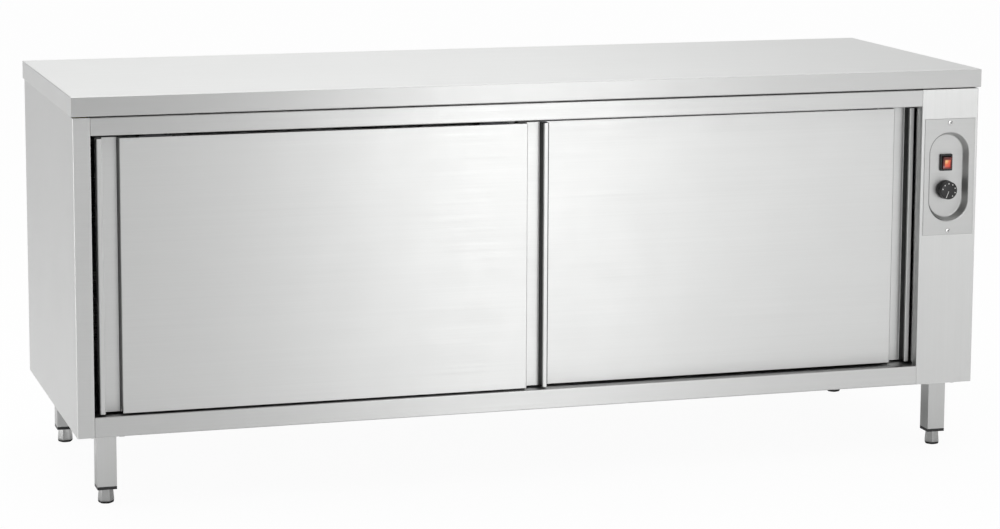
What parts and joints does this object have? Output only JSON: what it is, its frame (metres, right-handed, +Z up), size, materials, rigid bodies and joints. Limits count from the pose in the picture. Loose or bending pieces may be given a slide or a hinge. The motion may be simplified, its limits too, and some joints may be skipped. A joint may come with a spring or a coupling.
{
  "type": "heated plate cabinet",
  "caption": "Free-standing heated plate cabinet with a plain worktop, overlapping sliding doors, a shelf, a fan heater, a control column and levelling feet.",
  "frame": {"origin": "centre of the floor area under the worktop, on the floor", "axes": "+X to the right seen from the front, +Y to the rear (the doors face -Y), +Z up"},
  "size_m": [2, 0.7, 0.85],
  "materials": {
    "brushed_steel": "fine horizontal brushing, satin",
    "bright_steel": "smooth bright steel",
    "galvanised": "plain galvanised sheet",
    "black_rubber": "matt black",
    "black_plastic": "matt black",
    "gloss_black": "glossy black",
    "red_lens": "translucent red, lit from inside",
    "nylon": "natural white nylon",
    "wool": "compressed mineral wool",
    "board": "raw particle board",
    "dark_steel": "heat-darkened steel"
  },
  "bodies": {
    "cabinet": {"worktop": "brushed_steel", "left_outer_side": "brushed_steel", "right_outer_side": "brushed_steel", "rear_outer_panel": "brushed_steel", "service_cover": "brushed_steel", "base_pan": "brushed_steel", "left_stile": "brushed_steel", "top_rail": "brushed_steel", "bottom_rail": "brushed_steel", "control_column": "brushed_steel", "left_liner": "brushed_steel", "partition": "brushed_steel", "rear_liner": "brushed_steel", "cavity_floor": "brushed_steel", "cavity_ceiling": "brushed_steel", "legs": "brushed_steel", "shelf": "bright_steel", "shelf_uprights": "bright_steel", "shelf_clips": "bright_steel", "leg_bolts": "bright_steel", "control_plate": "bright_steel", "panel_screws": "bright_steel", "worktop_stiffeners": "galvanised", "upper_track": "galvanised", "thermostat": "galvanised", "fan_bracket": "galvanised", "fan_motor": "galvanised", "worktop_board": "board", "insulation": "wool", "door_guide": "black_plastic", "track_stops": "black_plastic", "leg_inserts": "black_plastic", "cable_gland": "black_plastic", "terminal_block": "nylon", "switch_housing": "gloss_black", "heating_element": "dark_steel"},
    "left_door": {"left_door_front": "brushed_steel", "left_door_back": "bright_steel", "left_door_core": "wool", "left_door_hangers": "galvanised"},
    "right_door": {"right_door_front": "brushed_steel", "right_door_back": "bright_steel", "right_door_core": "wool", "right_door_hangers": "galvanised"},
    "left_door_roller_left": {"left_door_roller_left": "nylon"},
    "left_door_roller_right": {"left_door_roller_right": "nylon"},
    "right_door_roller_left": {"right_door_roller_left": "nylon"},
    "right_door_roller_right": {"right_door_roller_right": "nylon"},
    "switch_rocker": {"switch_rocker": "red_lens"},
    "knob": {"knob": "gloss_black", "thermostat_spindle": "galvanised"},
    "fan_impeller": {"fan_impeller": "bright_steel"},
    "foot_front_left": {"foot_front_left": "bright_steel", "pad_front_left": "black_rubber"},
    "foot_front_right": {"foot_front_right": "bright_steel", "pad_front_right": "black_rubber"},
    "foot_rear_left": {"foot_rear_left": "bright_steel", "pad_rear_left": "black_rubber"},
    "foot_rear_right": {"foot_rear_right": "bright_steel", "pad_rear_right": "black_rubber"}
  },
  "joints": [
    {"name": "left_door_slide", "type": "slide", "parent": "cabinet", "child": "left_door", "axis": [1, 0, 0], "range_m": [0, 0.852]},
    {"name": "right_door_slide", "type": "slide", "parent": "cabinet", "child": "right_door", "axis": [1, 0, 0], "range_m": [-0.852, 0]},
    {"name": "left_door_roller_left_spin", "type": "hinge", "parent": "left_door", "child": "left_door_roller_left", "pos_m": [-0.829, -0.32345, 0.7907], "axis": [0, 1, 0], "continuous": true},
    {"name": "left_door_roller_right_spin", "type": "hinge", "parent": "left_door", "child": "left_door_roller_right", "pos_m": [-0.112, -0.32345, 0.7907], "axis": [0, 1, 0], "continuous": true},
    {"name": "right_door_roller_left_spin", "type": "hinge", "parent": "right_door", "child": "right_door_roller_left", "pos_m": [0.023, -0.29645, 0.7907], "axis": [0, 1, 0], "continuous": true},
    {"name": "right_door_roller_right_spin", "type": "hinge", "parent": "right_door", "child": "right_door_roller_right", "pos_m": [0.74, -0.29645, 0.7907], "axis": [0, 1, 0], "continuous": true},
    {"name": "switch_tilt", "type": "hinge", "parent": "cabinet", "child": "switch_rocker", "pos_m": [0.93, -0.331, 0.643], "axis": [1, 0, 0], "range_deg": [-16, 0]},
    {"name": "thermostat_turn", "type": "hinge", "parent": "cabinet", "child": "knob", "pos_m": [0.93, -0.338, 0.5825], "axis": [0, 1, 0], "range_deg": [0, 270]},
    {"name": "fan_spin", "type": "hinge", "parent": "cabinet", "child": "fan_impeller", "pos_m": [0.9, 0.06, 0.332], "axis": [1, 0, 0], "continuous": true},
    {"name": "foot_front_left_screw", "type": "slide", "parent": "cabinet", "child": "foot_front_left", "axis": [0, 0, -1], "range_m": [0, 0.025]},
    {"name": "foot_front_right_screw", "type": "slide", "parent": "cabinet", "child": "foot_front_right", "axis": [0, 0, -1], "range_m": [0, 0.025]},
    {"name": "foot_rear_left_screw", "type": "slide", "parent": "cabinet", "child": "foot_rear_left", "axis": [0, 0, -1], "range_m": [0, 0.025]},
    {"name": "foot_rear_right_screw", "type": "slide", "parent": "cabinet", "child": "foot_rear_right", "axis": [0, 0, -1], "range_m": [0, 0.025]}
  ],
  "couplings": [
    {"joint": "left_door_roller_left_spin", "follows": "left_door_slide", "rad_per_m": 105.26},
    {"joint": "left_door_roller_right_spin", "follows": "left_door_slide", "rad_per_m": 105.26},
    {"joint": "right_door_roller_left_spin", "follows": "right_door_slide", "rad_per_m": 105.26},
    {"joint": "right_door_roller_right_spin", "follows": "right_door_slide", "rad_per_m": 105.26}
  ]
}
